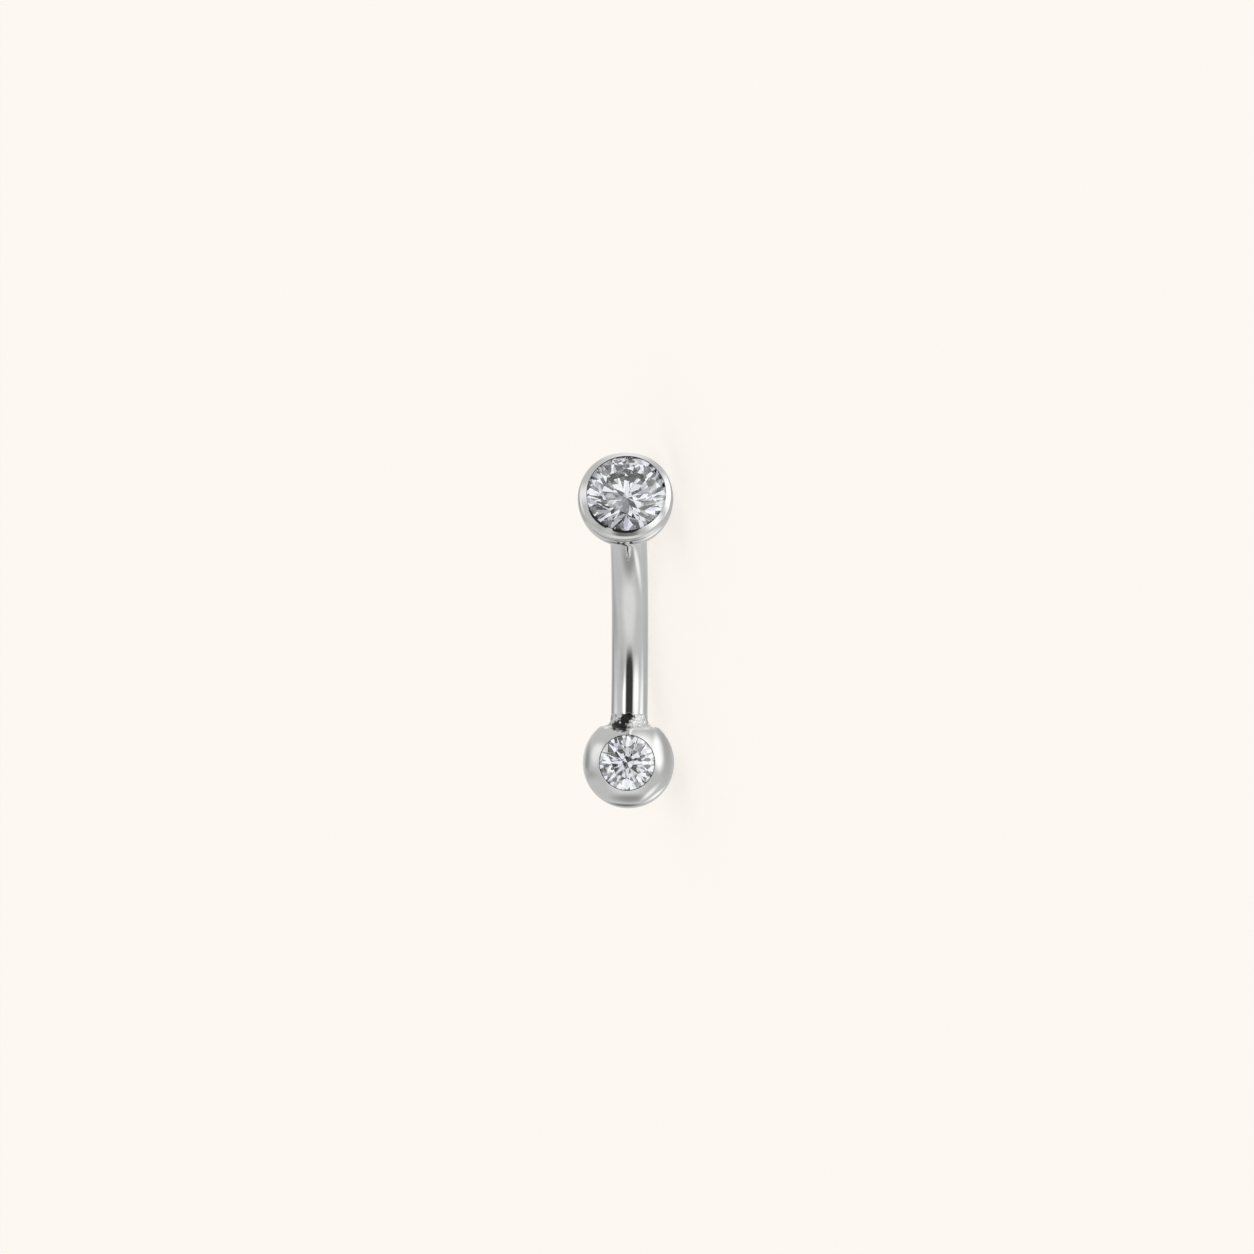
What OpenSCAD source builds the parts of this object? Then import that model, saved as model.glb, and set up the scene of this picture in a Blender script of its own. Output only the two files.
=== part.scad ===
// Rook barbell: a bent bar with a stone-set ball fixed to one end and a bezel head screwed on the other.
// It lies as it comes to rest: on the backs of the ball and the head and on the outside of the bend.

/* [Bar] */
// Diameter of the bar, which is 16 gauge
bar_d = 1.2; // [1:0.1:1.4]
// Radius of the bend, to the bar's centre line
bend_r = 6.95; // [6.5:0.05:7.5]
// Angle that the bar bends through
bend_angle = 70; // [62:1:74]
// Straight run of the bar from the ball's centre to the bend
ball_stub = 1.6; // [1.5:0.05:2]

/* [Fixed ball] */
// Diameter of the ball
ball_d = 3; // [2.8:0.1:3.2]
// Height above the ball's centre at which its top is cut flat for the bar
ball_flat_h = 1.17; // [1.1:0.01:1.25]
// Radius of the weld's hollow fillet between the bar and the flat
weld_r = 0.28; // [0.15:0.01:0.3]
// Girdle radius of the ball's stone
lower_stone_r = 0.92; // [0.85:0.01:0.95]
// Height of that stone's girdle above the ball's centre
lower_stone_h = 1.15; // [1.1:0.01:1.16]

/* [Screw-on head] */
// Radius of the head's round back
head_r = 1.557; // [1.5:0.001:1.6]
// Height above the head's centre at which the round back ends in a narrow ledge
ledge_h = 0.2; // [0.15:0.01:0.25]
// Outer radius of the bezel above the ledge
bezel_r = 1.52; // [1.5:0.01:1.53]
// Height of the bezel's top above the head's centre
bezel_h = 0.53; // [0.5:0.01:0.6]
// Rounding of the bezel's outer corner
bezel_round = 0.12; // [0.05:0.01:0.13]
// Radius of the opening in the bezel
opening_r = 1.31; // [1.28:0.01:1.33]
// Distance from the head's centre to the flat on its back, where the bar ends
back_h = 1.4; // [1.38:0.01:1.42]
// Sideways offset of the opening and the stone in the head
setting_offset = 0.04; // [0:0.01:0.05]
// Girdle radius of the head's stone
upper_stone_r = 1.36; // [1.34:0.01:1.37]
// Height of that stone's girdle above the head's centre
upper_stone_h = 0.4; // [0.38:0.01:0.42]

/* [Hidden pin] */
// Radius of the pin that stands in the bar
pin_r = 0.35; // [0.3:0.01:0.36]
// Length of the pin
pin_l = 1.1; // [0.8:0.1:1.2]

/* [Cut of the stones] */
// Table width as a share of the girdle's diameter
table_share = 0.57; // [0.53:0.01:0.62]
// Slope of the crown's main facets
crown_angle = 33; // [30:0.5:35]
// Slope of the pavilion's main facets
pavilion_angle = 40.8; // [40:0.1:41.5]
// Thickness of the girdle as a share of its radius
girdle_share = 0.04; // [0.03:0.01:0.06]
// Length of the star facets as a share of the way from the table to the girdle
star_share = 0.5; // [0.45:0.01:0.55]
// Length of the lower half facets as a share of the way from the girdle to the point
lower_half_share = 0.78; // [0.74:0.01:0.82]

/* [Hidden] */
$fn = 96;

// Gap between a stone and its seat, and between the head and the bar
gap = 0.02;
// Gap round the pin and beyond its end
pin_gap = 0.02;
pin_end_gap = 0.1;
// Length of the pin that is inside the head
pin_root = 0.3;
// Facets of a brilliant come in eights
mains = 8;
half_step = 180 / mains;

bar_r = bar_d / 2;
ball_r = ball_d / 2;
half_bend = bend_angle / 2;
head_stub = back_h + gap;

// Places in the plane of the bend: x along the chord from the ball to the head, y towards the hollow side
bend_centre = [0, bend_r * cos(half_bend)];
bend_end_x = bend_r * sin(half_bend);
ball_centre = [-bend_end_x - ball_stub * cos(half_bend), ball_stub * sin(half_bend)];
head_centre = [bend_end_x + head_stub * cos(half_bend), head_stub * sin(half_bend)];

// The floor touches the ball, the head and the bend, which gives two equations in the floor's normal
ends_dx = head_centre[0] - ball_centre[0];
ends_dy = head_centre[1] - ball_centre[1];
ball_over_bend = ball_centre[1] - bend_centre[1] + bend_r;
rise_ends = head_r - ball_r;
rise_bend = ball_r - bar_r;
det = ends_dx * ball_over_bend - ends_dy * ball_centre[0];
normal_x = (rise_ends * ball_over_bend - ends_dy * rise_bend) / det;
normal_y = (ends_dx * rise_bend - ball_centre[0] * rise_ends) / det;
pitch = asin(normal_x);
tilt = asin(normal_y / cos(pitch));

// A point of the bend's plane once it is turned into the lying pose
function laid(p) = [
    p[0] * cos(pitch) - p[1] * sin(tilt) * sin(pitch),
    -p[1] * cos(tilt),
    p[0] * sin(pitch) + p[1] * sin(tilt) * cos(pitch)
];

// Reach of the head past its centre along +X, at the bezel's rounded corner
corner_r = bezel_r - bezel_round;
corner_h = bezel_h - bezel_round;
head_reach = corner_h * cos(half_bend) + corner_r * sin(half_bend) + bezel_round;

// The origin is under the middle of the lying piece's box, on the floor
low_x = laid(ball_centre)[0] - ball_r;
high_x = laid(head_centre)[0] + head_reach;
low_y = laid(ball_centre)[1] - ball_r;
high_y = laid(bend_centre - [0, bend_r])[1] + bar_r;
floor_z = laid(ball_centre)[2] - ball_r;

module lying() {
    translate([-(low_x + high_x) / 2, -(low_y + high_y) / 2, -floor_z])
        rotate([180 - tilt, -pitch, 0])
            children();
}

// +Z along the bar from the ball's centre, +Y towards the ball's stone
module at_ball() {
    translate([ball_centre[0], ball_centre[1], 0])
        rotate([0, 0, -half_bend])
            rotate([0, 90, 0])
                children();
}

// +Z out of the ball along the axis of its stone
module at_lower_stone() {
    at_ball() rotate([-90, 0, 0]) translate([0, 0, lower_stone_h]) children();
}

// +Z along the head's axis, away from the bar
module at_head() {
    translate([head_centre[0], head_centre[1], 0])
        rotate([0, 0, half_bend])
            rotate([0, 90, 0])
                children();
}

// From the head's centre to the stone, a little to one side
module set_in_head() {
    translate([-setting_offset, 0, upper_stone_h]) children();
}

function ring(n, r, z, turn) = [
    for (i = [0:n - 1]) [r * cos(360 * i / n + turn), r * sin(360 * i / n + turn), z]
];

// Round brilliant with the top of its girdle at z = 0
module brilliant(r) {
    table_r = r * table_share;
    crown_h = (r - table_r) * tan(crown_angle);
    girdle_h = r * girdle_share;
    pavilion_h = r * tan(pavilion_angle);
    table_edge_r = table_r * cos(half_step);
    star_r = table_edge_r + star_share * (r - table_edge_r);
    star_z = crown_h * (r - star_r * cos(half_step)) / (r - table_r);
    half_r = r * (1 - lower_half_share);
    half_z = -girdle_h - pavilion_h * (1 - half_r * cos(half_step) / r);

    n = mains;
    stars = n;
    top = 2 * n;
    bottom = 4 * n;
    halves = 6 * n;
    point = 7 * n;
    points = concat(
        ring(n, table_r, crown_h, 0),
        ring(n, star_r, star_z, half_step),
        ring(2 * n, r, 0, 0),
        ring(2 * n, r, -girdle_h, 0),
        ring(n, half_r, half_z, half_step),
        [[0, 0, -girdle_h - pavilion_h]]
    );
    table = [[for (i = [n - 1:-1:0]) i]];
    star_facets = [for (i = [0:n - 1]) [i, (i + 1) % n, stars + i]];
    crown_mains = [for (i = [0:n - 1]) [i, stars + i, top + 2 * i, stars + (i + n - 1) % n]];
    upper_halves = [
        for (i = [0:n - 1], side = [0, 1])
            [stars + i, top + (2 * i + side + 1) % (2 * n), top + 2 * i + side]
    ];
    girdle = [
        for (i = [0:2 * n - 1])
            [top + i, top + (i + 1) % (2 * n), bottom + (i + 1) % (2 * n), bottom + i]
    ];
    lower_halves = [
        for (i = [0:n - 1], side = [0, 1])
            [halves + i, bottom + 2 * i + side, bottom + (2 * i + side + 1) % (2 * n)]
    ];
    pavilion_mains = [for (i = [0:n - 1]) [point, halves + (i + n - 1) % n, bottom + 2 * i, halves + i]];
    polyhedron(
        points,
        concat(table, star_facets, crown_mains, upper_halves, girdle, lower_halves, pavilion_mains)
    );
}

// Half profile of a stone's seat up to the foot of its girdle, with the top of the girdle at y = 0
function seat_profile(r) = [
    [0, -gap - r * girdle_share - (r + gap) * tan(pavilion_angle)],
    [r + gap, -gap - r * girdle_share]
];

// Half profile of the ball with its flat and the weld's fillet, round the axis of the bar
module ball_profile() {
    intersection() {
        circle(r = ball_r);
        translate([0, -ball_r]) square([ball_r, ball_r + ball_flat_h]);
    }
    difference() {
        square([bar_r + weld_r, ball_flat_h + weld_r]);
        translate([bar_r + weld_r, ball_flat_h + weld_r]) circle(r = weld_r);
    }
}

// Straight run from the ball's centre, then the bend, with +Z along the bar and +Y towards the hollow side
module bar() {
    cylinder(r = bar_r, h = ball_stub);
    translate([0, bend_r, ball_stub])
        rotate([90, 0, -90])
            rotate_extrude(angle = bend_angle)
                translate([bend_r, 0])
                    circle(r = bar_r);
}

module lower_seat() {
    seat_r = lower_stone_r + gap;
    rotate_extrude()
        polygon(concat(seat_profile(lower_stone_r), [[seat_r, ball_r], [0, ball_r]]));
}

module pin_bore() {
    translate([0, 0, -back_h - pin_l - pin_end_gap])
        cylinder(r = pin_r + pin_gap, h = pin_l + pin_end_gap);
}

module curved_bar() {
    color("silver")
        lying()
            difference() {
                union() {
                    at_ball() rotate_extrude() ball_profile();
                    at_ball() bar();
                }
                at_lower_stone() lower_seat();
                at_head() pin_bore();
            }
}

// Half profile of the head's outside, round its own axis
module head_profile() {
    intersection() {
        circle(r = head_r);
        translate([0, -back_h]) square([head_r, back_h + ledge_h]);
    }
    square([bezel_r, corner_h]);
    square([corner_r, bezel_h]);
    translate([corner_r, corner_h]) circle(r = bezel_round);
}

// The lip leans in over the girdle, and its mouth opens a little towards the top
module upper_seat() {
    seat_r = upper_stone_r + gap;
    lip_edge_h = gap + (seat_r - opening_r) * tan(crown_angle);
    mouth_h = bezel_h - upper_stone_h;
    mouth_r = opening_r + mouth_h - lip_edge_h;
    rotate_extrude()
        polygon(concat(
            seat_profile(upper_stone_r),
            [[seat_r, gap], [opening_r, lip_edge_h], [mouth_r, mouth_h], [mouth_r, bezel_h], [0, bezel_h]]
        ));
}

// The pin starts inside the head, a little above the flat on its back
module pin() {
    translate([0, 0, -back_h - pin_l]) cylinder(r = pin_r, h = pin_l + pin_root);
}

module bezel_head() {
    color("silver")
        lying() at_head()
            difference() {
                union() {
                    rotate_extrude() head_profile();
                    pin();
                }
                set_in_head() upper_seat();
            }
}

module lower_stone() {
    color("aliceblue") lying() at_lower_stone() brilliant(lower_stone_r);
}

module upper_stone() {
    color("aliceblue") lying() at_head() set_in_head() brilliant(upper_stone_r);
}

curved_bar();
lower_stone();
bezel_head();
upper_stone();
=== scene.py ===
import math

import bmesh
import bpy
from mathutils import Matrix, Vector


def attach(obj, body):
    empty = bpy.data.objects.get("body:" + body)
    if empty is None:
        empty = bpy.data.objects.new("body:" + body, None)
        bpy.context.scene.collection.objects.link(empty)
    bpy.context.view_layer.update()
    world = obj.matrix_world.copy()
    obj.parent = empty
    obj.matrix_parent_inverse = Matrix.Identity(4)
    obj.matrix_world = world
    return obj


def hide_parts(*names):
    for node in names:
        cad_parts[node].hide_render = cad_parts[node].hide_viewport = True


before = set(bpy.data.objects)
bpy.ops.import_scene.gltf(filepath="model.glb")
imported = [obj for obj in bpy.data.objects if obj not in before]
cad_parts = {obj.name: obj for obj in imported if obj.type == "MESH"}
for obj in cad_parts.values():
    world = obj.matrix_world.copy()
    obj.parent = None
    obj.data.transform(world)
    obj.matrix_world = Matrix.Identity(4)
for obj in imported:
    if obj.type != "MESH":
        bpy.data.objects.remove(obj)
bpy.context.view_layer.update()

print("frame loaded:", ", ".join(sorted(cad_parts)))

# Everything is drawn in millimetres round its own axis and then laid in the frame
mm = 0.001
merge = 1e-5  # vertices closer than this become one
near = 0.003  # how closely a vertex is picked by its place
mainSizes = {
    "barRadius": 0.6,
    "bendRadius": 6.95,
    "bendAngle": 70.0,
    "stub": 1.6,  # straight run from the ball's centre to the bend
    "ballRadius": 1.5,
    "backRadius": 1.557,  # round back of the head
    "backHeight": 1.4,  # from the head's centre down to the flat where the bar ends
    "headGap": 0.02,
    "headReach": 1.25886,  # from the head's centre to the end of the solids, along the floor
}


def turn(axis, degrees):
    return Matrix.Rotation(math.radians(degrees), 4, axis)


def lieOnFloor():
    # The floor touches the ball, the head and the bend, which gives two equations in its normal
    s = mainSizes
    half = math.radians(s["bendAngle"] / 2)
    toHead = s["backHeight"] + s["headGap"]
    bendEnd = s["bendRadius"] * math.sin(half)
    ballCentre = Vector((-bendEnd - s["stub"] * math.cos(half), s["stub"] * math.sin(half), 0))
    headCentre = Vector((bendEnd + toHead * math.cos(half), toHead * math.sin(half), 0))
    bendMiddle = Vector((0, s["bendRadius"] * (math.cos(half) - 1), 0))
    span = headCentre - ballCentre
    ballOverBend = ballCentre.y - bendMiddle.y
    headRise = s["backRadius"] - s["ballRadius"]
    bendRise = s["ballRadius"] - s["barRadius"]
    share = span.x * ballOverBend - span.y * ballCentre.x
    normalX = (headRise * ballOverBend - span.y * bendRise) / share
    normalY = (span.x * bendRise - ballCentre.x * headRise) / share
    pitch = math.asin(normalX)
    tilt = math.asin(normalY / math.cos(pitch))
    leaning = turn("Y", -math.degrees(pitch)) @ turn("X", 180 - math.degrees(tilt))

    # The origin is on the floor, under the middle of the box
    ball, head, bend = leaning @ ballCentre, leaning @ headCentre, leaning @ bendMiddle
    middleX = (ball.x - s["ballRadius"] + head.x + s["headReach"]) / 2
    middleY = (ball.y - s["ballRadius"] + bend.y + s["barRadius"]) / 2
    floorZ = ball.z - s["ballRadius"]
    return Matrix.Translation((-middleX, -middleY, -floorZ)) @ leaning, ballCentre, headCentre


lying, ballPlace, headPlace = lieOnFloor()
halfBend = mainSizes["bendAngle"] / 2
# +Z along the bar, +Y towards the ball's stone
atBall = lying @ Matrix.Translation(ballPlace) @ turn("Z", -halfBend) @ turn("Y", 90)
atBallStone = atBall @ turn("X", -90)
# +Z along the head's axis, away from the bar
atHead = lying @ Matrix.Translation(headPlace) @ turn("Z", halfBend) @ turn("Y", 90)


def arcPoints(centre, radius, start, end, count):
    points = []
    for i in range(count + 1):
        angle = math.radians(start + (end - start) * i / count)
        points.append((centre[0] + radius * math.cos(angle), centre[1] + radius * math.sin(angle)))
    return points


def stepsTo(start, end, count):
    # Even steps from one point to another, without the first
    return [tuple(a + (b - a) * i / count for a, b in zip(start, end)) for i in range(1, count + 1)]


def selectOnly(piece):
    bpy.ops.object.select_all(action="DESELECT")
    piece.select_set(True)
    bpy.context.view_layer.objects.active = piece


def selectVerts(piece, test):
    bpy.ops.mesh.select_mode(type="VERT")
    bpy.ops.mesh.select_all(action="DESELECT")
    mesh = bmesh.from_edit_mesh(piece.data)
    for v in mesh.verts:
        if test(v.co):
            v.select_set(True)
    mesh.select_flush(True)
    bmesh.update_edit_mesh(piece.data)
    bpy.ops.mesh.select_mode(type="EDGE")


def drawProfile(name, points):
    # One vertex is put down and pulled from point to point in the XZ plane
    bpy.ops.object.select_all(action="DESELECT")
    bpy.ops.mesh.primitive_plane_add(size=0.1, location=(points[0][0], 0, points[0][1]))
    piece = bpy.context.active_object
    piece.name = piece.data.name = name
    bpy.ops.object.transform_apply(location=True, rotation=False, scale=False)
    bpy.ops.object.mode_set(mode="EDIT")
    bpy.ops.mesh.select_mode(type="VERT")
    bpy.ops.mesh.select_all(action="SELECT")
    bpy.ops.mesh.merge(type="CENTER")
    for before, after in zip(points, points[1:]):
        step = (after[0] - before[0], 0, after[1] - before[1])
        bpy.ops.mesh.extrude_region_move(TRANSFORM_OT_translate={"value": step})
    return piece


def spinProfile(steps):
    bpy.ops.mesh.select_all(action="SELECT")
    bpy.ops.mesh.spin(steps=steps, angle=2 * math.pi, center=(0, 0, 0), axis=(0, 0, 1))
    bpy.ops.mesh.select_all(action="SELECT")
    bpy.ops.mesh.remove_doubles(threshold=merge)


def pullRings(radius, centre, rings):
    # The selected ring is pulled on, each time to a new radius and a new centre
    for newRadius, newCentre in rings:
        step = tuple(newCentre - centre)
        bpy.ops.mesh.extrude_region_move(TRANSFORM_OT_translate={"value": step})
        ratio = newRadius / radius
        bpy.ops.transform.resize(value=(ratio, ratio, ratio), center_override=tuple(newCentre))
        radius, centre = newRadius, newCentre


def joinInto(piece, other):
    bpy.ops.object.mode_set(mode="OBJECT")
    selectOnly(piece)
    other.select_set(True)
    bpy.ops.object.join()
    bpy.ops.object.mode_set(mode="EDIT")
    bpy.ops.mesh.select_mode(type="EDGE")


def bridgeOpenRims():
    bpy.ops.mesh.select_all(action="DESELECT")
    bpy.ops.mesh.select_non_manifold(
        extend=False, use_wire=False, use_boundary=True,
        use_multi_face=False, use_non_contiguous=False, use_verts=False,
    )
    bpy.ops.mesh.bridge_edge_loops()


def faceOutwards():
    bpy.ops.mesh.select_all(action="SELECT")
    bpy.ops.mesh.normals_make_consistent(inside=False)


def smoothStep(value, low, high):
    t = min(max((value - low) / (high - low), 0), 1)
    return t * t * (3 - 2 * t)


def hump(value, riseLow, riseHigh, fallLow, fallHigh):
    return smoothStep(value, riseLow, riseHigh) * (1 - smoothStep(value, fallLow, fallHigh))


def markVerts(piece, name, amount):
    # Writes how much of a finish each vertex has, for the material to read
    bpy.ops.object.mode_set(mode="OBJECT")
    marks = piece.data.attributes.new(name, "FLOAT", "POINT")
    for v in piece.data.vertices:
        marks.data[v.index].value = amount(v.co)


def roughen(piece, group, grain, height):
    # Pushes the grouped vertices in and out along a cloud of the given grain
    cloud = bpy.data.textures.new(group + str(grain), "CLOUDS")
    cloud.noise_scale = grain
    cloud.noise_depth = 2
    push = piece.modifiers.new("push", "DISPLACE")
    push.texture = cloud
    push.texture_coords = "LOCAL"
    push.vertex_group = group
    push.strength = height
    push.mid_level = 0.5
    bpy.ops.object.modifier_apply(modifier=push.name)


def settle(piece, place):
    # Shrinks the drawing from millimetres and lays it in the frame
    if bpy.context.object.mode == "EDIT":
        faceOutwards()
        bpy.ops.object.mode_set(mode="OBJECT")
    selectOnly(piece)
    piece.matrix_world = Matrix.Scale(mm, 4) @ place
    bpy.ops.object.transform_apply(location=True, rotation=True, scale=True)


def finishWith(piece, material, smoothUnder=None):
    piece.data.materials.clear()
    piece.data.materials.append(material)
    if smoothUnder:
        selectOnly(piece)
        bpy.ops.object.shade_smooth_by_angle(angle=math.radians(smoothUnder))


# The camera looks along the ball's stone, as the photograph does
view = {
    "yaw": 2.3,
    "roll": 0.95,
    "distance": 1.0,
    "frameWidth": 0.0411148,  # metres across the picture at the ball
    "ballRight": 0.046,  # where the ball's centre shows, mm from the middle of the picture
    "ballUp": -4.443,
    "sensor": 36.0,
    "clip": (0.01, 20),
}


def cameraAxes():
    left, towards, up = (atBall.col[i].to_3d() for i in range(3))
    yaw, roll = math.radians(view["yaw"]), math.radians(view["roll"])
    back = (towards * math.cos(yaw) - left * math.sin(yaw)).normalized()
    side = -left * math.cos(yaw) - towards * math.sin(yaw)
    right = side * math.cos(roll) + up * math.sin(roll)
    right = (right - back * right.dot(back)).normalized()
    return right, back.cross(right), back


camRight, camUp, camBack = cameraAxes()
aim = (atBall.translation - camRight * view["ballRight"] - camUp * view["ballUp"]) * mm
camData = bpy.data.cameras.new("camera")
camera = bpy.data.objects.new("camera", camData)
bpy.context.scene.collection.objects.link(camera)
camData.sensor_fit = "AUTO"
camData.sensor_width = view["sensor"]
camData.lens = view["sensor"] * view["distance"] / view["frameWidth"]
camData.clip_start, camData.clip_end = view["clip"]
axes = Matrix((camRight, camUp, camBack)).transposed().to_4x4()
camera.matrix_world = Matrix.Translation(aim + camBack * view["distance"]) @ axes
bpy.context.scene.camera = camera
print("camera set")


def newMaterial(name):
    material = bpy.data.materials.new(name)
    material.use_nodes = True
    nodes, links = material.node_tree.nodes, material.node_tree.links
    return material, nodes, links, nodes["Principled BSDF"]


def noiseNode(nodes, links, place, scale, detail=3.0, roughness=0.5):
    noise = nodes.new("ShaderNodeTexNoise")
    noise.inputs["Scale"].default_value = scale
    noise.inputs["Detail"].default_value = detail
    noise.inputs["Roughness"].default_value = roughness
    links.new(place, noise.inputs["Vector"])
    return noise.outputs["Fac"]


def rampNode(nodes, links, value, stops):
    ramp = nodes.new("ShaderNodeValToRGB")
    steps = ramp.color_ramp.elements
    steps.remove(steps[1])
    for i, (position, colour) in enumerate(stops):
        step = steps.new(position) if i else steps[0]
        step.position = position
        step.color = (*colour, 1) if isinstance(colour, tuple) else (colour, colour, colour, 1)
    links.new(value, ramp.inputs["Fac"])
    return ramp.outputs["Color"]


def spread(nodes, links, value, fromRange, toRange):
    remap = nodes.new("ShaderNodeMapRange")
    remap.inputs["From Min"].default_value, remap.inputs["From Max"].default_value = fromRange
    remap.inputs["To Min"].default_value, remap.inputs["To Max"].default_value = toRange
    links.new(value, remap.inputs["Value"])
    return remap.outputs["Result"]


def fillSocket(links, socket, value):
    if isinstance(value, (int, float)):
        socket.default_value = value
    else:
        links.new(value, socket)


def mathNode(nodes, links, operation, *values):
    node = nodes.new("ShaderNodeMath")
    node.operation = operation
    for socket, value in zip(node.inputs, values):
        fillSocket(links, socket, value)
    return node.outputs[0]


def mixValue(nodes, links, amount, low, high):
    mix = nodes.new("ShaderNodeMix")
    mix.data_type = "FLOAT"
    for socket, value in zip(mix.inputs[:1] + mix.inputs[2:4], (amount, low, high)):
        fillSocket(links, socket, value)
    return mix.outputs[0]


def mixColour(nodes, links, amount, blend="MIX"):
    # Returns its two colour sockets and its result
    mix = nodes.new("ShaderNodeMix")
    mix.data_type, mix.blend_type = "RGBA", blend
    fillSocket(links, mix.inputs[0], amount)
    return mix.inputs[6], mix.inputs[7], mix.outputs[2]


def bumpNode(nodes, links, height, distance):
    bump = nodes.new("ShaderNodeBump")
    bump.inputs["Distance"].default_value = distance
    links.new(height, bump.inputs["Height"])
    return bump


def mark(nodes, name):
    attribute = nodes.new("ShaderNodeAttribute")
    attribute.attribute_name = name
    return attribute.outputs["Fac"]


steelLook = {
    "greys": [(0.3, (0.82, 0.815, 0.81)), (0.7, (0.88, 0.877, 0.87))],
    "greyGrain": (1400, 4),  # scale, detail and roughness of a noise, here and below
    # the black of soot on the weld and of painted shade in the seats, the groove and round the opening
    "sootAndShade": (0.012, 0.012, 0.013),
    "sootAndShadeGrain": (11000, 3, 0.6),
    "sootAndShadeEdge": (0.3, 0.55),  # mark and grain together, from clean to black
    "sootAndShadeRough": 0.4,
    "sootAndShadeMetal": 0.3,
    "rough": (0.05, 0.10),
    "roughEdge": (0.3, 0.7),
    "roughGrain": (9000, 3, 0.6),
    "weldRough": 0.16,
    "weldGrain": (26000, 4, 0.7),
    "weldHeight": 0.00001,
    "scratchGrain": (5000, 3, 0.7),
    "scratchStretch": (1.0, 1.0, 14.0),
    "scratchHeight": 0.00000012,
    "smoothUnder": 28,  # edges bent by more degrees than this stay sharp
}


def polishedSteel():
    look = steelLook
    material, nodes, links, shader = newMaterial("polishedSteel")
    place = nodes.new("ShaderNodeTexCoord").outputs["Object"]
    weld, sootAndShade = mark(nodes, "weld"), mark(nodes, "sootAndShade")

    # Soot and painted shade take hold where the mark and a fine grain together are strong enough
    specks = noiseNode(nodes, links, place, *look["sootAndShadeGrain"])
    sootAndShadeAmount = mathNode(nodes, links, "ADD", sootAndShade, mathNode(nodes, links, "SUBTRACT", specks, 0.5))
    sootAndShadeAmount = spread(nodes, links, sootAndShadeAmount, look["sootAndShadeEdge"], (0, 1))
    clouds = noiseNode(nodes, links, place, *look["greyGrain"])
    clean, dirty, tinted = mixColour(nodes, links, sootAndShadeAmount)
    links.new(rampNode(nodes, links, clouds, look["greys"]), clean)
    dirty.default_value = (*look["sootAndShade"], 1)
    links.new(tinted, shader.inputs["Base Color"])
    links.new(mixValue(nodes, links, sootAndShadeAmount, 1.0, look["sootAndShadeMetal"]), shader.inputs["Metallic"])

    grain = noiseNode(nodes, links, place, *look["roughGrain"])
    rough = spread(nodes, links, grain, look["roughEdge"], look["rough"])
    rough = mixValue(nodes, links, weld, rough, look["weldRough"])
    rough = mixValue(nodes, links, sootAndShadeAmount, rough, look["sootAndShadeRough"])
    links.new(rough, shader.inputs["Roughness"])

    # Fine polishing lines all over, and a grainy skin on the weld
    lines = nodes.new("ShaderNodeMapping")
    lines.inputs["Scale"].default_value = look["scratchStretch"]
    links.new(place, lines.inputs["Vector"])
    scratches = noiseNode(nodes, links, lines.outputs["Vector"], *look["scratchGrain"])
    polish = bumpNode(nodes, links, scratches, look["scratchHeight"])
    grit = noiseNode(nodes, links, place, *look["weldGrain"])
    skin = bumpNode(nodes, links, grit, look["weldHeight"])
    links.new(weld, skin.inputs["Strength"])
    links.new(polish.outputs["Normal"], skin.inputs["Normal"])
    links.new(skin.outputs["Normal"], shader.inputs["Normal"])
    return material


stoneLook = {
    "tints": [(0.35, (0.95, 0.953, 0.975)), (0.55, (0.99, 0.99, 0.99))],
    "tintGrain": (900, 2),
    "ior": 2.2,
}


def clearStone():
    material, nodes, links, shader = newMaterial("clearStone")
    place = nodes.new("ShaderNodeTexCoord").outputs["Object"]
    clouds = noiseNode(nodes, links, place, *stoneLook["tintGrain"])
    links.new(rampNode(nodes, links, clouds, stoneLook["tints"]), shader.inputs["Base Color"])
    shader.inputs["Roughness"].default_value = 0
    shader.inputs["IOR"].default_value = stoneLook["ior"]
    shader.inputs["Transmission Weight"].default_value = 1
    return material


steel = polishedSteel()
gem = clearStone()
print("materials made")

# The fixed ball, the weld and the bent bar, drawn with +Z along the bar
barSizes = {
    "flatHeight": 1.17,  # where the ball's top is cut flat for the bar
    "shoulderRound": 0.3,
    "neckRadius": 0.585,
    "weldRadius": 0.24,
    "weldHeight": 0.31,
    "weldStart": 245.0,  # angle on the weld's hollow curve at which it leaves the flat
    "neckTop": 0.035,  # below the bend
    "seam": [(0.006, 0.022), (0.0, 0.01), (0.0, 0.0)],  # inwards from the bar and down from the bend
    "seatRadius": 0.918,
    "seatFoot": 1.0932,
    "seatPoint": 0.2818,
    "coneShares": (0, 0.5, 0.97, 1),
    "rimRound": 0.012,
    "rimSteps": [(0.0, 1.1), (0.3, 0.3)],  # out and below the rim, in roundings
    "endRound": 0.03,
    "boreRadius": 0.37,
    "boreRound": 0.02,
    "boreDepth": 1.2,
    "around": 192,
    "along": 96,
    "shoulderSteps": 8,
    "weldSteps": 20,
    "neckSteps": 6,
    "endSteps": 5,
}
weldLook = {
    "fades": [(-0.09, 0.02), (-0.05, -0.02)],  # from the flat and from the bend
    "lumps": [(0.25, 0.08), (0.07, 0.06)],  # grain and height of the rough skin
    "greys": (0.16, 0.34),  # from the left side to the right
    "greySides": (-0.05, 0.2),
    "sootSpots": [
        (0.0, 1.52, 0.26), (0.13, 1.4, 0.3), (0.22, 1.24, 0.32), (0.4, 1.18, 0.26), (0.14, 1.12, 0.2),
    ],
    "sootTop": 0.05,  # nothing is dark further up the bend than this
    "sparkle": (0.27, 1.31),
    "sparkleReach": 0.035,
}


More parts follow.
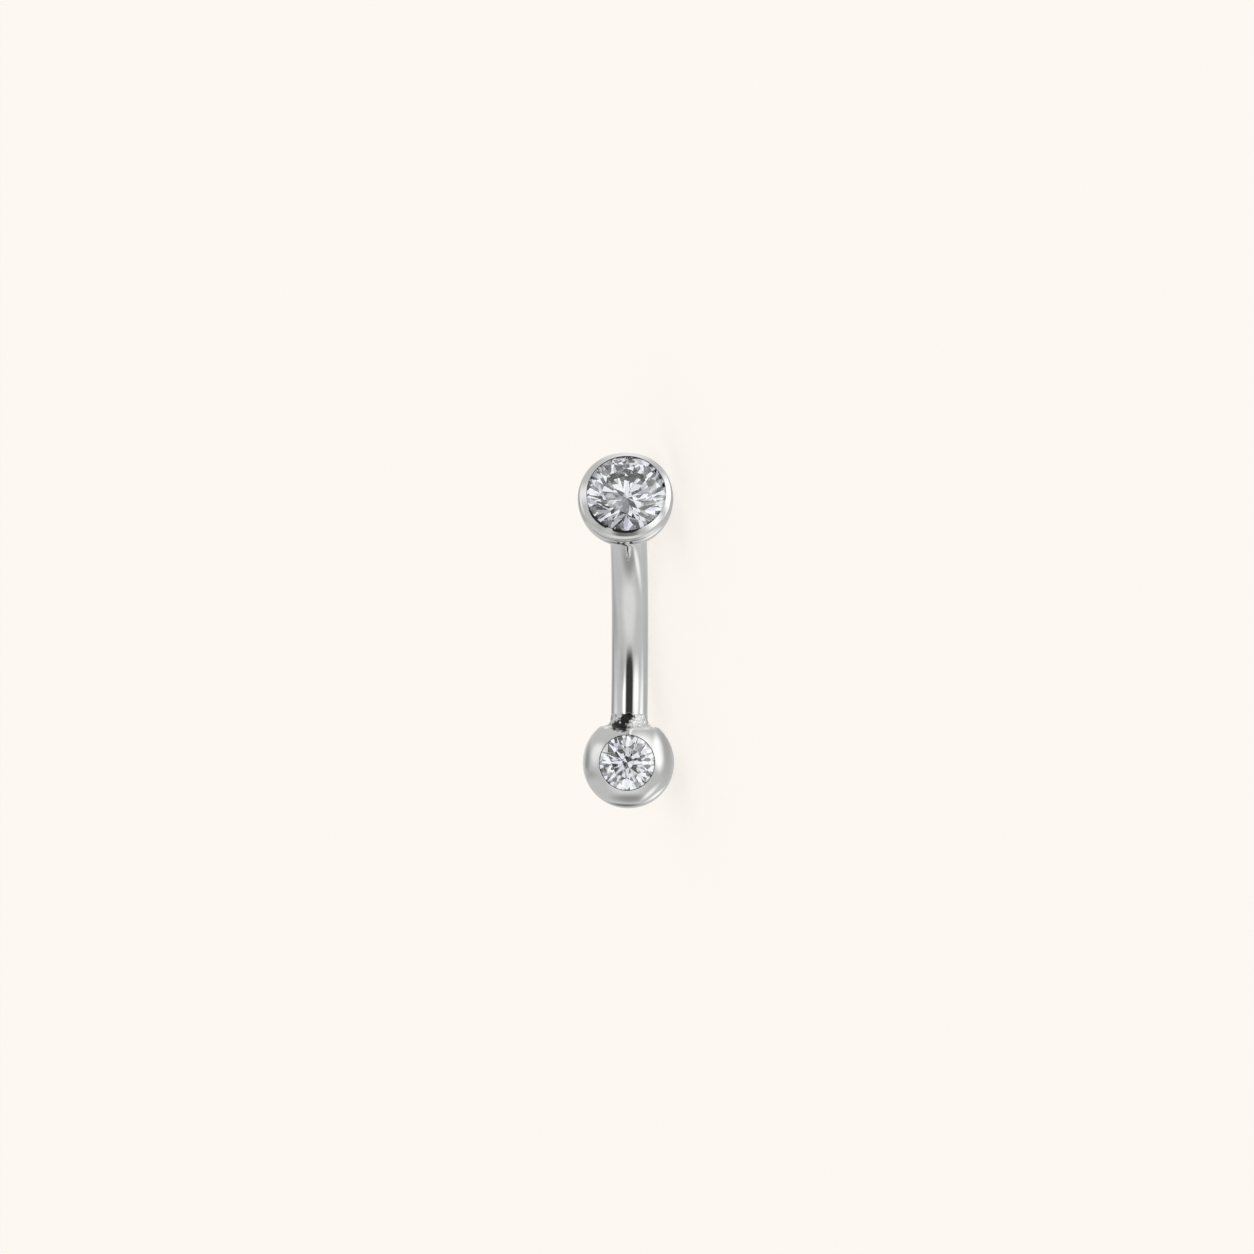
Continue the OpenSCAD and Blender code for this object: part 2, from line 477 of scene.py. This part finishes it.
def fixedBall():
    # First round the stone's axis, as +Z, with the seat in the top
    s = {**mainSizes, **barSizes}
    radius, seat, rim = s["ballRadius"], s["seatRadius"], s["rimRound"]
    foot, low = s["seatFoot"], s["seatPoint"]
    firstAngle = math.degrees(math.acos((seat + rim) / radius))
    rimTop = radius * math.sin(math.radians(firstAngle))
    points = [(seat * share, low + (foot - low) * share) for share in s["coneShares"]]
    points += [(seat + rim * out, rimTop - rim * down) for out, down in s["rimSteps"]]
    points += arcPoints((0, 0), radius, firstAngle, -90, s["along"])
    points[-1] = (0, -radius)
    piece = drawProfile("fixedBall", points)
    spinProfile(s["around"])

    # The bar leaves along -Y there, so that side is cut off and then turned to the top
    reach, height = radius - s["shoulderRound"], s["flatHeight"] - s["shoulderRound"]
    cutAngle = math.asin(height / reach)
    cutHeight = radius * math.sin(cutAngle)
    bpy.ops.mesh.bisect(
        plane_co=(0, -cutHeight, 0), plane_no=(0, -1, 0),
        clear_outer=True, use_fill=False, threshold=merge,
    )
    bpy.ops.object.mode_set(mode="OBJECT")
    piece.matrix_world = turn("X", -90)
    selectOnly(piece)
    bpy.ops.object.transform_apply(location=True, rotation=True, scale=True)

    # The cut edge is rolled over into a soft shoulder
    bpy.ops.object.mode_set(mode="EDIT")
    selectVerts(piece, lambda co: co.z > cutHeight - 10 * merge)
    centre = (math.sqrt(reach ** 2 - height ** 2), height)
    shoulder = arcPoints(centre, s["shoulderRound"], math.degrees(cutAngle), 90, s["shoulderSteps"])[1:]
    rings = [(r, Vector((0, 0, z))) for r, z in shoulder]
    pullRings(radius * math.cos(cutAngle), Vector((0, 0, cutHeight)), rings)
    bpy.ops.object.mode_set(mode="OBJECT")
    return piece


def bentBar():
    s = {**mainSizes, **barSizes}
    neck, bar, stub, bend = s["neckRadius"], s["barRadius"], s["stub"], s["bendRadius"]
    foot = s["flatHeight"] + s["weldHeight"]
    points = []
    for cosine, sine in arcPoints((0, 0), 1, s["weldStart"], 180, s["weldSteps"]):
        points.append((neck + s["weldRadius"] * (1 + cosine), foot + s["weldHeight"] * sine))
    points += stepsTo((neck, foot), (neck, stub - s["neckTop"]), s["neckSteps"])
    points += [(bar - inwards, stub - down) for inwards, down in s["seam"]]
    piece = drawProfile("curvedBar", points)
    spinProfile(s["around"])
    selectVerts(piece, lambda co: co.z > stub - 10 * merge)

    # The bend stops short of its end, where the edge is eased and runs over into the bore
    ease, bore, boreEase = s["endRound"], s["boreRadius"], s["boreRound"]
    bpy.ops.mesh.spin(
        steps=s["along"], angle=math.radians(s["bendAngle"]) - ease / bend,
        center=(0, bend, stub), axis=(1, 0, 0),
    )
    angle = math.radians(s["bendAngle"])
    outwards = Vector((0, math.sin(angle), math.cos(angle)))
    end = Vector((0, bend * (1 - math.cos(angle)), stub + bend * math.sin(angle)))
    rings = arcPoints((bar - ease, -ease), ease, 0, 90, s["endSteps"])[1:]
    rings += [(bore + boreEase, 0), (bore, -boreEase), (bore, -s["boreDepth"])]
    pullRings(bar, end - outwards * ease, [(r, end + outwards * height) for r, height in rings])
    bpy.ops.mesh.edge_face_add()
    return piece


def weldZone(co):
    (flatLow, flatHigh), (bendLow, bendHigh) = weldLook["fades"]
    flat, bend = barSizes["flatHeight"], mainSizes["stub"]
    return hump(co.z, flat + flatLow, flat + flatHigh, bend + bendLow, bend + bendHigh)


def sootAndShadeOnBar(co):
    # Painted shade on the wall of the stone's seat, and soot in one patch of the weld
    seat, foot, look = barSizes["seatRadius"], barSizes["seatFoot"], weldLook
    # painted shade: the seat's wall is made black
    if abs(math.hypot(co.x, co.z) - seat) < near and co.y > foot - near:
        return 1.0
    if co.y < 0 or co.z > mainSizes["stub"] + look["sootTop"]:
        return 0.0
    if math.dist((co.x, co.z), look["sparkle"]) < look["sparkleReach"]:
        return 0.0
    spot = max(1 - math.dist((co.x, co.z), (x, z)) / reach for x, z, reach in look["sootSpots"])
    left, right = look["greys"]
    grey = left + (right - left) * smoothStep(co.x, *look["greySides"])
    return max(spot, grey * weldZone(co))


ball = fixedBall()
bar = bentBar()
joinInto(bar, ball)
bridgeOpenRims()
faceOutwards()
bpy.ops.object.mode_set(mode="OBJECT")
weldGroup = bar.vertex_groups.new(name="weldGroup")
for v in bar.data.vertices:
    weldGroup.add([v.index], weldZone(v.co), "REPLACE")
for grain, height in weldLook["lumps"]:
    roughen(bar, "weldGroup", grain, height)
bar.vertex_groups.clear()
markVerts(bar, "weld", weldZone)
markVerts(bar, "sootAndShade", sootAndShadeOnBar)
settle(bar, atBall)
finishWith(bar, steel, steelLook["smoothUnder"])
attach(bar, "root")
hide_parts("curved_bar")
print("curved bar made:", len(bar.data.polygons), "faces")

# The bezel head, drawn with +Z along its axis, away from the bar
headSizes = {
    "ledgeHeight": 0.175,
    "bezelRadius": 1.538,
    "bezelHeight": 0.525,
    "wallSlope": 88.0,
    "shoulderRound": 0.236,
    "faceTilt": 38.0,
    "openingRadius": 1.29,
    "offset": 0.04,  # the opening and the stone are this far to one side
    "faceEdge": (0.012, 0.003),  # outwards from the opening and down from the top
    "mouth": [(0.006, 0.0), (0.002, 0.004)],
    "lipHeight": 0.0655,  # edge of the lip above the stone's girdle
    "lipRound": (0.006, 0.004),
    "seatRadius": 1.38,
    "seatTop": 0.02,
    "seatFoot": 0.0744,  # below the top of the girdle
    "seatSlope": 40.8,
    "coneShares": (0.97, 0.5),
    "pointRing": (0.02, 0.017),
    "stoneHeight": 0.4,
    "creaseDepth": 0.03,
    "crease": [(0.010, 0.021), (0.005, 0.015), (0.0015, 0.008), (0.0, 0.0)],  # from the ledge's rim
    "flatRound": 0.01,
    "flatRoundAngle": 0.8,
    "pinRadius": 0.35,
    "pinLength": 1.1,
    "pinRound": 0.05,
    "around": 192,
    "backSteps": 56,
    "wallSteps": 3,
    "shoulderSteps": 16,
    "faceSteps": 8,
    "mouthSteps": 3,
}
headShadeAndSpecks = {
    "specks": [(0.18, 1.546, 0.0), (0.03, 1.555, -0.07), (-0.05, 1.543, -0.2), (-0.23, 1.54, 0.03)],
    "speckFade": (0.0208, 0.0728),
    "speckSquash": 0.38,  # under 1 makes the specks longer along the head's axis
    "backTop": 0.03,  # the back ends this far above the ledge
    "grooveDepth": 0.0115,
    "grooveFade": (0.004, 0.009),
    "grooveSide": (30, 60, 100, 125),  # degrees round the head
    "crescentSide": (14, 34, 98, 116),
    "crescentWidth": (0.008, 0.07),
    "crescentFade": (0.75, 1.05),
    "glint": 68,
    "glintFade": (3, 6),
    "glintDepth": 0.9,
}


def headOutside(s):
    # Half profile from the pin's tip to the ledge
    radius, flat, pin, ledge = s["backRadius"], -s["backHeight"], s["pinRadius"], s["ledgeHeight"]
    flatRadius = math.sqrt(radius ** 2 - flat ** 2)
    startAngle = math.degrees(math.asin(flat / radius)) + s["flatRoundAngle"]
    endAngle = math.degrees(math.asin((ledge - s["creaseDepth"]) / radius))
    tip, edge = flat - s["pinLength"], s["pinRound"]
    points = [(0, tip), (pin - edge, tip), (pin, tip + edge), (pin, flat)]
    points += [(flatRadius - s["flatRound"], flat)]
    points += arcPoints((0, 0), radius, startAngle, endAngle, s["backSteps"])
    points += [(s["bezelRadius"] + out, ledge - down) for out, down in s["crease"]]
    return points


def bezelRings(s):
    # A short wall, a round shoulder, and a slanted face up to the opening
    wall, ledge, high, opening = s["bezelRadius"], s["ledgeHeight"], s["bezelHeight"], s["openingRadius"]
    corner, first, last = s["shoulderRound"], 90 - s["wallSlope"], 90 - s["faceTilt"]
    edgeOut, edgeDown = s["faceEdge"]
    mouthOut = s["mouth"][0][0]
    centreRadius = wall - corner * math.cos(math.radians(first))
    faceRadius = centreRadius + corner * math.cos(math.radians(last))
    faceFoot = high - (faceRadius - opening - mouthOut) * math.tan(math.radians(s["faceTilt"]))
    centreHeight = faceFoot - corner * math.sin(math.radians(last))
    shoulder = arcPoints((centreRadius, centreHeight), corner, first, last, s["shoulderSteps"])
    rings = stepsTo((wall, ledge), shoulder[0], s["wallSteps"])[:-1] + shoulder
    return rings + stepsTo(shoulder[-1], (opening + edgeOut, high - edgeDown), s["faceSteps"])


def seatRings(s):
    # Over the mouth, down to the lip's edge, under it, and down the seat to its point
    opening, high, seat = s["openingRadius"], s["bezelHeight"], s["seatRadius"]
    lip, foot = s["stoneHeight"] + s["lipHeight"], s["stoneHeight"] - s["seatFoot"]
    point = foot - seat * math.tan(math.radians(s["seatSlope"]))
    lipOut, lipDown = s["lipRound"]
    tipRadius, tipRise = s["pointRing"]
    rings = [(opening + out, high - down) for out, down in s["mouth"]]
    rings += stepsTo(rings[-1], (opening, lip), s["mouthSteps"])
    rings += [(opening + lipOut, lip - lipDown), (seat, s["stoneHeight"] + s["seatTop"]), (seat, foot)]
    rings += [(seat * share, point + (foot - point) * share) for share in s["coneShares"]]
    return rings + [(tipRadius, point + tipRise)]


def bezelHead():
    s = {**mainSizes, **headSizes}
    wall, ledge, high = s["bezelRadius"], s["ledgeHeight"], s["bezelHeight"]
    piece = drawProfile("bezelHead", headOutside(s))
    spinProfile(s["around"])
    selectVerts(piece, lambda co: co.z > ledge - merge)
    # Between the ledge and the top the rings move over to the opening's side
    rings = []
    for radius, height in bezelRings(s):
        rings.append((radius, Vector((-s["offset"] * smoothStep(height, ledge, high), 0, height))))
    rings += [(radius, Vector((-s["offset"], 0, height))) for radius, height in seatRings(s)]
    pullRings(wall, Vector((0, 0, ledge)), rings)
    bpy.ops.mesh.merge(type="CENTER")
    return piece


def shadeAndSpecksOnHead(co):
    # Painted shade on the seat's wall and under the lip, in the groove below the bezel, and in a crescent
    # on one side of the opening; dark specks on the back
    s, look = headSizes, headShadeAndSpecks
    x, y = co.x + s["offset"], co.y
    fromAxis, side = math.hypot(x, y), math.degrees(math.atan2(y, x))
    girdle, opening = s["stoneHeight"], s["openingRadius"]
    lip = girdle + s["lipHeight"]
    underLip = fromAxis < opening + s["lipRound"][0] + near and co.z < lip + near
    onSeat = fromAxis < s["seatRadius"] + near and co.z < girdle + s["seatTop"] + near
    # painted shade: the seat's wall and the underside of the lip are made black
    if co.z > girdle - s["seatFoot"] - near and (underLip or onSeat):
        return 1.0
    if co.z < s["ledgeHeight"] + look["backTop"]:
        squash = look["speckSquash"]
        away = min(math.hypot(co.x - u, co.y - v, squash * (co.z - w)) for u, v, w in look["specks"])
        # painted shade along the groove below the bezel
        groove = 1 - smoothStep(abs(co.z - s["ledgeHeight"] + look["grooveDepth"]), *look["grooveFade"])
        return max(1 - smoothStep(away, *look["speckFade"]), groove * hump(side, *look["grooveSide"]))
    if co.z < lip:
        return 0.0
    # painted shade in the gap round the stone, as a crescent that narrows where a glint shows
    thin, wide = look["crescentWidth"]
    glint = 1 - smoothStep(abs(side - look["glint"]), *look["glintFade"])
    width = thin + wide * hump(side, *look["crescentSide"]) * (1 - look["glintDepth"] * glint)
    fadeLow, fadeHigh = look["crescentFade"]
    return 1 - smoothStep(fromAxis - opening, width * fadeLow, width * fadeHigh)


head = bezelHead()
faceOutwards()
markVerts(head, "sootAndShade", shadeAndSpecksOnHead)
settle(head, atHead)
finishWith(head, steel, steelLook["smoothUnder"])
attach(head, "root")
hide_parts("bezel_head")
print("bezel head made:", len(head.data.polygons), "faces")

# The stones, each facet ground on with a plane
cut = {
    "mains": 8,
    "tableShare": 0.57,
    "crownAngle": 33.0,
    "pavilionAngle": 40.8,
    "girdleShare": 0.04,
    "starShare": 0.5,
    "lowerHalfShare": 0.78,
    "girdleSides": 144,
    "spare": 0.05,  # the blank stands out this far above the table and below the point
    "inside": (0, 0, -0.3),  # a point that no facet reaches
}
stoneSizes = {
    "ballStone": {"radius": 0.9, "height": 1.15},
    "headStone": {"radius": 1.36, "height": headSizes["stoneHeight"]},
}


def onRing(radius, height, degrees):
    angle = math.radians(degrees)
    return Vector((radius * math.cos(angle), radius * math.sin(angle), height))


def grind(a, b, c):
    normal = (b - a).cross(c - a).normalized()
    if normal.dot(a - Vector(cut["inside"])) < 0:
        normal = -normal
    bpy.ops.mesh.select_all(action="SELECT")
    bpy.ops.mesh.bisect(
        plane_co=tuple(a), plane_no=tuple(normal), use_fill=True, clear_outer=True, threshold=merge
    )


def brilliant(name, radius):
    step = 360 / cut["mains"]
    half = step / 2
    halfCosine = math.cos(math.radians(half))
    tableRadius = radius * cut["tableShare"]
    crown = (radius - tableRadius) * math.tan(math.radians(cut["crownAngle"]))
    girdle = radius * cut["girdleShare"]
    pavilion = radius * math.tan(math.radians(cut["pavilionAngle"]))
    tableEdge = tableRadius * halfCosine
    starRadius = tableEdge + cut["starShare"] * (radius - tableEdge)
    starHeight = crown * (radius - starRadius * halfCosine) / (radius - tableRadius)
    lowRadius = radius * (1 - cut["lowerHalfShare"])
    lowHeight = -girdle - pavilion * (1 - lowRadius * halfCosine / radius)

    depth = crown + girdle + pavilion + 2 * cut["spare"]
    bpy.ops.object.select_all(action="DESELECT")
    bpy.ops.mesh.primitive_cylinder_add(
        vertices=cut["girdleSides"], radius=radius, depth=depth,
        location=(0, 0, crown + cut["spare"] - depth / 2),
    )
    piece = bpy.context.active_object
    piece.name = piece.data.name = name
    bpy.ops.object.transform_apply(location=True, rotation=False, scale=False)
    bpy.ops.object.mode_set(mode="EDIT")
    bpy.ops.mesh.select_mode(type="VERT")
    point = Vector((0, 0, -girdle - pavilion))
    for i in range(cut["mains"]):
        at = step * i
        table, nextTable = onRing(tableRadius, crown, at), onRing(tableRadius, crown, at + step)
        star, lastStar = onRing(starRadius, starHeight, at + half), onRing(starRadius, starHeight, at - half)
        low, lastLow = onRing(lowRadius, lowHeight, at + half), onRing(lowRadius, lowHeight, at - half)
        grind(table, star, lastStar)
        grind(table, nextTable, star)
        grind(point, low, lastLow)
        for side in (at, at + half):
            grind(star, onRing(radius, 0, side), onRing(radius, 0, side + half))
            grind(low, onRing(radius, -girdle, side), onRing(radius, -girdle, side + half))
    grind(*(onRing(tableRadius, crown, step * i) for i in range(3)))
    return piece


beds = {
    "ballStone": (atBallStone, 0, "lower_stone"),
    "headStone": (atHead, -headSizes["offset"], "upper_stone"),
}
for name, (place, aside, node) in beds.items():
    size = stoneSizes[name]
    stone = brilliant(name, size["radius"])
    settle(stone, place @ Matrix.Translation((aside, 0, size["height"])))
    finishWith(stone, gem)
    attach(stone, "root")
    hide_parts(node)
    print(name, "cut:", len(stone.data.polygons), "faces")

# The floor, the lights and the tent that the metal and the stones reflect
studio = {
    "floorSize": 6,
    "floorColour": (0.983, 0.939, 0.888),
    "floorRough": 0.9,
    "floorGlow": 0.47,
    "skyLight": 0.5,
    "tentRadius": 0.4,
    "tentGrey": 0.576,
    "tentSides": (96, 48),
    "leastSine": 0.00001,  # keeps the middle of the tent's cloth from a division by nothing
}
keyLight = {"place": (0.3, 0.1, 0.8), "size": 0.9, "power": 0.3}

# Patches of the tent's cloth, in degrees round the object from the side of the photograph
patches = {
    "lowBand": {"right": -5, "up": -66, "width": 44, "height": 22, "edge": 0.51, "light": 0.77},
    "rightArc": {"right": 86, "up": 30, "width": 18, "height": 48, "edge": 0.45, "light": 1.30},
    "rightTop": {"right": 36, "up": 46, "width": 30, "height": 26, "edge": 0.95, "light": 1.35},
    "rightFront": {"right": 42, "up": -12, "width": 19, "height": 16, "edge": 0.59, "light": 1.2},
    "leftFront": {"right": -31, "up": -7, "width": 12, "height": 15, "edge": 0.6, "light": 1.4},
    "leftDim": {"right": -52, "up": -26, "width": 14, "height": 10, "edge": 0.8, "light": 0.47},
    "leftHigh": {"right": -95, "up": 20, "width": 14, "height": 27, "edge": 0.7, "light": 0.9},
    "leftRim": {"right": -82, "up": 37, "width": 14, "height": 14, "edge": 0.9, "light": 0.95},
    "highBack": {"right": 0, "up": 152, "width": 60, "height": 44, "edge": 0.8, "light": 1.1},
    "leftDark": {"right": -135, "up": 4, "width": 15, "height": 50, "edge": 0.8, "light": 0.12},
    "leftLow": {"right": -126, "up": -38, "width": 32, "height": 12, "edge": 0.95, "light": 0.40},
    "leftEdge": {"right": -185, "up": 20, "width": 44, "height": 90, "edge": 0.95, "light": 0.78},
    "lowDim": {"right": 2, "up": -105, "width": 44, "height": 14, "edge": 0.7, "light": 0.33},
    "lowCorner": {
        "right": 87, "up": -107, "width": 30, "height": 7, "edge": 0.8, "light": 1.15, "turn": 33,
    },
    "lowGlint": {
        "right": 62, "up": -90, "width": 27, "height": 7, "edge": 0.8, "light": 1.02, "turn": 46,
    },
    "lowArc": {"right": -12, "up": -139, "width": 46, "height": 8, "edge": 0.7, "light": 0.18},
    "rightDim": {"right": 120, "up": 60, "width": 23, "height": 90, "edge": 0.95, "light": 0.43},
    "frontDark": {
        "right": -2, "up": -12, "width": 23, "height": 26, "edge": 0.25, "light": 0.045, "square": 3.5,
    },
}


def layFloor():
    bpy.ops.object.select_all(action="DESELECT")
    bpy.ops.mesh.primitive_plane_add(size=studio["floorSize"], location=(0, 0, 0))
    floor = bpy.context.active_object
    floor.name = "floor"
    made = newMaterial("paleFloor")
    material, shader = made[0], made[-1]
    shader.inputs["Base Color"].default_value = (*studio["floorColour"], 1)
    shader.inputs["Roughness"].default_value = studio["floorRough"]
    shader.inputs["Specular IOR Level"].default_value = 0.0
    shader.inputs["Emission Color"].default_value = (*studio["floorColour"], 1)
    shader.inputs["Emission Strength"].default_value = studio["floorGlow"]
    floor.data.materials.append(material)
    floor.visible_glossy = False
    floor.visible_transmission = False


def lightSky():
    # White light from all round, behind which the camera sees the floor's colour
    world = bpy.data.worlds.new("studio")
    bpy.context.scene.world = world
    world.use_nodes = True
    nodes, links = world.node_tree.nodes, world.node_tree.links
    sky = nodes["Background"]
    sky.inputs["Color"].default_value = (1, 1, 1, 1)
    sky.inputs["Strength"].default_value = studio["skyLight"]
    backdrop = nodes.new("ShaderNodeBackground")
    backdrop.inputs["Color"].default_value = (*studio["floorColour"], 1)
    path = nodes.new("ShaderNodeLightPath")
    either = nodes.new("ShaderNodeMixShader")
    links.new(path.outputs["Is Camera Ray"], either.inputs["Fac"])
    links.new(sky.outputs[0], either.inputs[1])
    links.new(backdrop.outputs[0], either.inputs[2])
    links.new(either.outputs[0], nodes["World Output"].inputs["Surface"])
    world.cycles_visibility.glossy = False
    world.cycles_visibility.transmission = False


def glowingMaterial(name):
    material = bpy.data.materials.new(name)
    material.use_nodes = True
    nodes, links = material.node_tree.nodes, material.node_tree.links
    nodes.clear()
    glow = nodes.new("ShaderNodeEmission")
    out = nodes.new("ShaderNodeOutputMaterial")
    links.new(glow.outputs[0], out.inputs["Surface"])
    return material, nodes, links, glow, nodes.new("ShaderNodeTexCoord").outputs["Object"]


def tentCloth():
    # The cloth glows grey, with soft light and dark patches in it
    material, nodes, links, glow, place = glowingMaterial("tentCloth")

    def do(operation, *values):
        return mathNode(nodes, links, operation, *values)

    along = []
    for axis in (camRight, camUp, camBack):
        dot = nodes.new("ShaderNodeVectorMath")
        dot.operation = "DOT_PRODUCT"
        dot.inputs[1].default_value = axis / studio["tentRadius"]
        links.new(place, dot.inputs[0])
        along.append(dot.outputs["Value"])
    sine = do("SQRT", do("ADD", do("MULTIPLY", along[0], along[0]), do("MULTIPLY", along[1], along[1])))
    angle = do("MULTIPLY", do("ARCTAN2", sine, along[2]), 180 / math.pi)
    perSine = do("DIVIDE", angle, do("MAXIMUM", sine, studio["leastSine"]))
    right, up = do("MULTIPLY", along[0], perSine), do("MULTIPLY", along[1], perSine)
    light = studio["tentGrey"]
    for patch in patches.values():
        x, y = do("SUBTRACT", right, patch["right"]), do("SUBTRACT", up, patch["up"])
        if "turn" in patch:
            lean = math.radians(patch["turn"])
            c, d = math.cos(lean), math.sin(lean)
            turnedX = do("ADD", do("MULTIPLY", x, c), do("MULTIPLY", y, d))
            turnedY = do("SUBTRACT", do("MULTIPLY", y, c), do("MULTIPLY", x, d))
            x, y = turnedX, turnedY
        x, y = do("MULTIPLY", x, 1 / patch["width"]), do("MULTIPLY", y, 1 / patch["height"])
        x, y = do("ABSOLUTE", x), do("ABSOLUTE", y)
        power = patch.get("square", 2.0)
        reach = do("POWER", do("ADD", do("POWER", x, power), do("POWER", y, power)), 1 / power)
        fade = nodes.new("ShaderNodeMapRange")
        fade.interpolation_type = "SMOOTHSTEP"
        fade.inputs["From Min"].default_value = 1 + patch["edge"]
        fade.inputs["From Max"].default_value = 1 - patch["edge"]
        links.new(reach, fade.inputs["Value"])
        change = do("SUBTRACT", patch["light"], light)
        light = do("ADD", light, do("MULTIPLY", change, fade.outputs["Result"]))
    links.new(light, glow.inputs["Strength"])
    return material


# The stones look out into a room of lit and dark panels
room = {
    "radius": 0.41,
    "panels": 20.0,
    "softness": 0.35,
    "tintPanels": 2.4,
    "tintDetail": 1,
    "bright": 1.2,
    "greys": [(0.22, 0.03), (0.34, 0.13), (0.44, 0.32), (0.53, 0.54), (0.64, 0.8), (0.75, 0.95)],
    "tints": [(0.35, (0.84, 0.86, 1.0)), (0.5, (0.97, 0.97, 1.0)), (0.65, (0.96, 1.0, 0.98))],
}


def litPanels():
    material, nodes, links, glow, place = glowingMaterial("litPanels")
    panels = nodes.new("ShaderNodeTexVoronoi")
    panels.feature = "SMOOTH_F1"
    panels.inputs["Scale"].default_value = room["panels"] / room["radius"]
    panels.inputs["Smoothness"].default_value = room["softness"]
    links.new(place, panels.inputs["Vector"])
    clouds = noiseNode(nodes, links, place, room["tintPanels"] / room["radius"], room["tintDetail"])
    first, second, tinted = mixColour(nodes, links, 1, "MULTIPLY")
    links.new(rampNode(nodes, links, panels.outputs["Color"], room["greys"]), first)
    links.new(rampNode(nodes, links, clouds, room["tints"]), second)
    glow.inputs["Strength"].default_value = room["bright"]
    links.new(tinted, glow.inputs["Color"])
    return material


def addTent(name, radius, material):
    bpy.ops.object.select_all(action="DESELECT")
    around, upward = studio["tentSides"]
    bpy.ops.mesh.primitive_uv_sphere_add(segments=around, ring_count=upward, radius=radius)
    tent = bpy.context.active_object
    tent.name = name
    tent.data.materials.append(material)
    tent.visible_camera = False
    tent.visible_diffuse = False
    tent.visible_shadow = False
    tent.visible_volume_scatter = False
    return tent


def hangKeyLight():
    lamp = bpy.data.lights.new("keyLight", "AREA")
    lamp.shape = "DISK"
    lamp.size = keyLight["size"]
    lamp.energy = keyLight["power"]
    key = bpy.data.objects.new("keyLight", lamp)
    bpy.context.scene.collection.objects.link(key)
    key.location = keyLight["place"]
    key.rotation_euler = Vector(keyLight["place"]).to_track_quat("Z", "Y").to_euler()
    key.visible_camera = False
    key.visible_glossy = False
    key.visible_transmission = False


layFloor()
lightSky()
addTent("tent", studio["tentRadius"], tentCloth()).visible_transmission = False
addTent("room", room["radius"], litPanels()).visible_glossy = False
hangKeyLight()
settings = bpy.context.scene.view_settings
settings.view_transform = "Standard"
settings.look = "None"
bpy.context.scene.cycles.max_bounces = 32
bpy.context.scene.cycles.transmission_bounces = 32
bpy.context.scene.cycles.glossy_bounces = 16
print("studio set")
